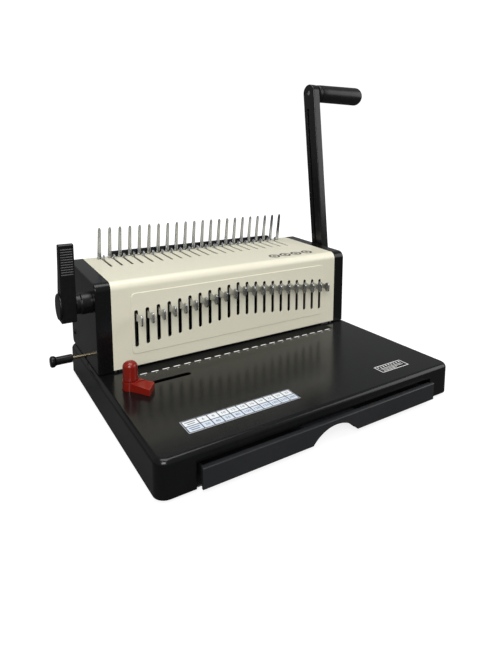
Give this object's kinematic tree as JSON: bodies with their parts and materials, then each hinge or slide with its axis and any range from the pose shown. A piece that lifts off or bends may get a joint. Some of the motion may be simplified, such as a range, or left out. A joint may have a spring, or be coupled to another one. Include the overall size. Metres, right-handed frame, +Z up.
{
  "type": "comb binding machine",
  "caption": "Manual plastic-comb binding machine: steel base with chip drawer, lever-driven punch, pull tabs, comb opener with fingers, margin knob and sliding edge guide.",
  "frame": {"origin": "middle of the whole machine's footprint, at the level of the feet's undersides", "axes": "+X along the comb towards the operator's right, +Y towards the back of the machine, +Z up"},
  "size_m": [0.5404, 0.3334, 0.4153],
  "materials": {
    "black_enamel": "gloss black powder coat",
    "cream_enamel": "cream enamel, satin gloss",
    "zinc_steel": "zinc plated",
    "dark_steel": "blackened",
    "tool_steel": "ground",
    "nickel_tabs": "satin nickel",
    "nickel_fingers": "satin nickel",
    "spring_steel": "bright",
    "bolt_zinc": "zinc plated",
    "bronze": "sintered bronze",
    "brass_rod": "drawn brass",
    "handle_black": "satin black powder coat",
    "grip_plastic": "moulded, low gloss",
    "lever_plastic": "moulded, matte",
    "drawer_plastic": "moulded, gloss",
    "red_plastic": "moulded, gloss red",
    "rubber": "matte",
    "label": "printed white film"
  },
  "bodies": {
    "base": {"base_pan": "black_enamel", "bottom_plate": "zinc_steel", "rubber_feet": "rubber", "left_side_frame": "zinc_steel", "right_side_frame": "zinc_steel", "shaft_bushes": "bronze", "die_plate": "tool_steel", "punch_guide": "zinc_steel", "guide_posts": "tool_steel", "return_springs": "spring_steel", "front_cover": "cream_enamel", "left_end_cap": "black_enamel", "right_end_cap": "black_enamel", "rear_panel": "black_enamel", "rear_rail": "black_enamel", "comb_fingers": "nickel_fingers", "lever_boss": "lever_plastic", "size_table": "label", "panel_screws": "bolt_zinc"},
    "punch_bar": {"pressure_bar": "dark_steel", "punch_pins": "tool_steel"},
    "handle": {"handle_arm": "handle_black", "handle_bolts": "bolt_zinc", "main_shaft": "tool_steel", "punch_pinions": "tool_steel"},
    "grip": {"hand_grip": "grip_plastic"},
    "opener": {"comb_lever": "lever_plastic", "lever_cap": "lever_plastic", "opener_shaft": "tool_steel", "opener_gears": "tool_steel"},
    "idler": {"idler_gears": "tool_steel"},
    "hooks": {"hook_plate": "zinc_steel", "comb_hooks": "nickel_fingers"},
    "margin": {"margin_knob": "lever_plastic", "margin_rod": "brass_rod"},
    "stop": {"paper_stop": "zinc_steel"},
    "guide": {"guide_post": "red_plastic"},
    "guide_lock": {"guide_lever": "red_plastic"},
    "drawer": {"chip_drawer": "drawer_plastic"},
    "tab_01": {"pull_tab_01": "nickel_tabs"},
    "tab_02": {"pull_tab_02": "nickel_tabs"},
    "tab_03": {"pull_tab_03": "nickel_tabs"},
    "tab_04": {"pull_tab_04": "nickel_tabs"},
    "tab_05": {"pull_tab_05": "nickel_tabs"},
    "tab_06": {"pull_tab_06": "nickel_tabs"},
    "tab_07": {"pull_tab_07": "nickel_tabs"},
    "tab_08": {"pull_tab_08": "nickel_tabs"},
    "tab_09": {"pull_tab_09": "nickel_tabs"},
    "tab_10": {"pull_tab_10": "nickel_tabs"},
    "tab_11": {"pull_tab_11": "nickel_tabs"},
    "tab_12": {"pull_tab_12": "nickel_tabs"},
    "tab_13": {"pull_tab_13": "nickel_tabs"},
    "tab_14": {"pull_tab_14": "nickel_tabs"},
    "tab_15": {"pull_tab_15": "nickel_tabs"},
    "tab_16": {"pull_tab_16": "nickel_tabs"},
    "tab_17": {"pull_tab_17": "nickel_tabs"},
    "tab_18": {"pull_tab_18": "nickel_tabs"},
    "tab_19": {"pull_tab_19": "nickel_tabs"},
    "tab_20": {"pull_tab_20": "nickel_tabs"},
    "tab_21": {"pull_tab_21": "nickel_tabs"}
  },
  "joints": [
    {"name": "punch_handle", "type": "hinge", "parent": "base", "child": "handle", "pos_m": [-0.03655, 0.09575, 0.092], "axis": [1, 0, 0], "range_deg": [0, 90]},
    {"name": "punch_stroke", "type": "slide", "parent": "base", "child": "punch_bar", "axis": [0, 0, -1], "range_m": [0, 0.024], "stiffness_N_per_m": 400, "springref_m": -0.03, "deforming": ["return_springs"]},
    {"name": "grip_spin", "type": "hinge", "parent": "handle", "child": "grip", "pos_m": [0.17222, 0.13225, 0.40035], "axis": [1, 0, 0], "continuous": true},
    {"name": "comb_opener", "type": "hinge", "parent": "base", "child": "opener", "pos_m": [-0.24572, 0.05625, 0.1265], "axis": [-1, 0, 0], "range_deg": [0, 110]},
    {"name": "idler_turn", "type": "hinge", "parent": "base", "child": "idler", "pos_m": [-0.03655, 0.08925, 0.1265], "axis": [-1, 0, 0], "range_deg": [-110, 0]},
    {"name": "hook_travel", "type": "slide", "parent": "base", "child": "hooks", "axis": [0, -1, 0], "range_m": [0, 0.03169]},
    {"name": "margin_turn", "type": "hinge", "parent": "base", "child": "margin", "pos_m": [-0.24372, 0.09375, 0.047], "axis": [1, 0, 0], "range_deg": [-21.5, 21.5]},
    {"name": "stop_travel", "type": "slide", "parent": "base", "child": "stop", "axis": [0, -1, 0], "range_m": [-0.0015, 0.0015]},
    {"name": "guide_slide", "type": "slide", "parent": "base", "child": "guide", "axis": [1, 0, 0], "range_m": [-0.005, 0.068]},
    {"name": "guide_clamp", "type": "hinge", "parent": "guide", "child": "guide_lock", "pos_m": [-0.20425, -0.01225, 0.0408], "axis": [0, 0, 1], "range_deg": [-35, 55]},
    {"name": "drawer_slide", "type": "slide", "parent": "base", "child": "drawer", "axis": [0, -1, 0], "range_m": [0, 0.2]},
    {"name": "tab_01_pull", "type": "slide", "parent": "punch_bar", "child": "tab_01", "axis": [0, -1, 0], "range_m": [0, 0.007]},
    {"name": "tab_02_pull", "type": "slide", "parent": "punch_bar", "child": "tab_02", "axis": [0, -1, 0], "range_m": [0, 0.007]},
    {"name": "tab_03_pull", "type": "slide", "parent": "punch_bar", "child": "tab_03", "axis": [0, -1, 0], "range_m": [0, 0.007]},
    {"name": "tab_04_pull", "type": "slide", "parent": "punch_bar", "child": "tab_04", "axis": [0, -1, 0], "range_m": [0, 0.007]},
    {"name": "tab_05_pull", "type": "slide", "parent": "punch_bar", "child": "tab_05", "axis": [0, -1, 0], "range_m": [0, 0.007]},
    {"name": "tab_06_pull", "type": "slide", "parent": "punch_bar", "child": "tab_06", "axis": [0, -1, 0], "range_m": [0, 0.007]},
    {"name": "tab_07_pull", "type": "slide", "parent": "punch_bar", "child": "tab_07", "axis": [0, -1, 0], "range_m": [0, 0.007]},
    {"name": "tab_08_pull", "type": "slide", "parent": "punch_bar", "child": "tab_08", "axis": [0, -1, 0], "range_m": [0, 0.007]},
    {"name": "tab_09_pull", "type": "slide", "parent": "punch_bar", "child": "tab_09", "axis": [0, -1, 0], "range_m": [0, 0.007]},
    {"name": "tab_10_pull", "type": "slide", "parent": "punch_bar", "child": "tab_10", "axis": [0, -1, 0], "range_m": [0, 0.007]},
    {"name": "tab_11_pull", "type": "slide", "parent": "punch_bar", "child": "tab_11", "axis": [0, -1, 0], "range_m": [0, 0.007]},
    {"name": "tab_12_pull", "type": "slide", "parent": "punch_bar", "child": "tab_12", "axis": [0, -1, 0], "range_m": [0, 0.007]},
    {"name": "tab_13_pull", "type": "slide", "parent": "punch_bar", "child": "tab_13", "axis": [0, -1, 0], "range_m": [0, 0.007]},
    {"name": "tab_14_pull", "type": "slide", "parent": "punch_bar", "child": "tab_14", "axis": [0, -1, 0], "range_m": [0, 0.007]},
    {"name": "tab_15_pull", "type": "slide", "parent": "punch_bar", "child": "tab_15", "axis": [0, -1, 0], "range_m": [0, 0.007]},
    {"name": "tab_16_pull", "type": "slide", "parent": "punch_bar", "child": "tab_16", "axis": [0, -1, 0], "range_m": [0, 0.007]},
    {"name": "tab_17_pull", "type": "slide", "parent": "punch_bar", "child": "tab_17", "axis": [0, -1, 0], "range_m": [0, 0.007]},
    {"name": "tab_18_pull", "type": "slide", "parent": "punch_bar", "child": "tab_18", "axis": [0, -1, 0], "range_m": [0, 0.007]},
    {"name": "tab_19_pull", "type": "slide", "parent": "punch_bar", "child": "tab_19", "axis": [0, -1, 0], "range_m": [0, 0.007]},
    {"name": "tab_20_pull", "type": "slide", "parent": "punch_bar", "child": "tab_20", "axis": [0, -1, 0], "range_m": [0, 0.007]},
    {"name": "tab_21_pull", "type": "slide", "parent": "punch_bar", "child": "tab_21", "axis": [0, -1, 0], "range_m": [0, 0.007]}
  ],
  "couplings": [
    {"joint": "punch_stroke", "follows": "punch_handle", "m_per_rad": 0.015279},
    {"joint": "idler_turn", "follows": "comb_opener", "ratio": -1},
    {"joint": "hook_travel", "follows": "comb_opener", "m_per_rad": 0.0165},
    {"joint": "margin_turn", "follows": "stop_travel", "rad_per_m": 250}
  ]
}
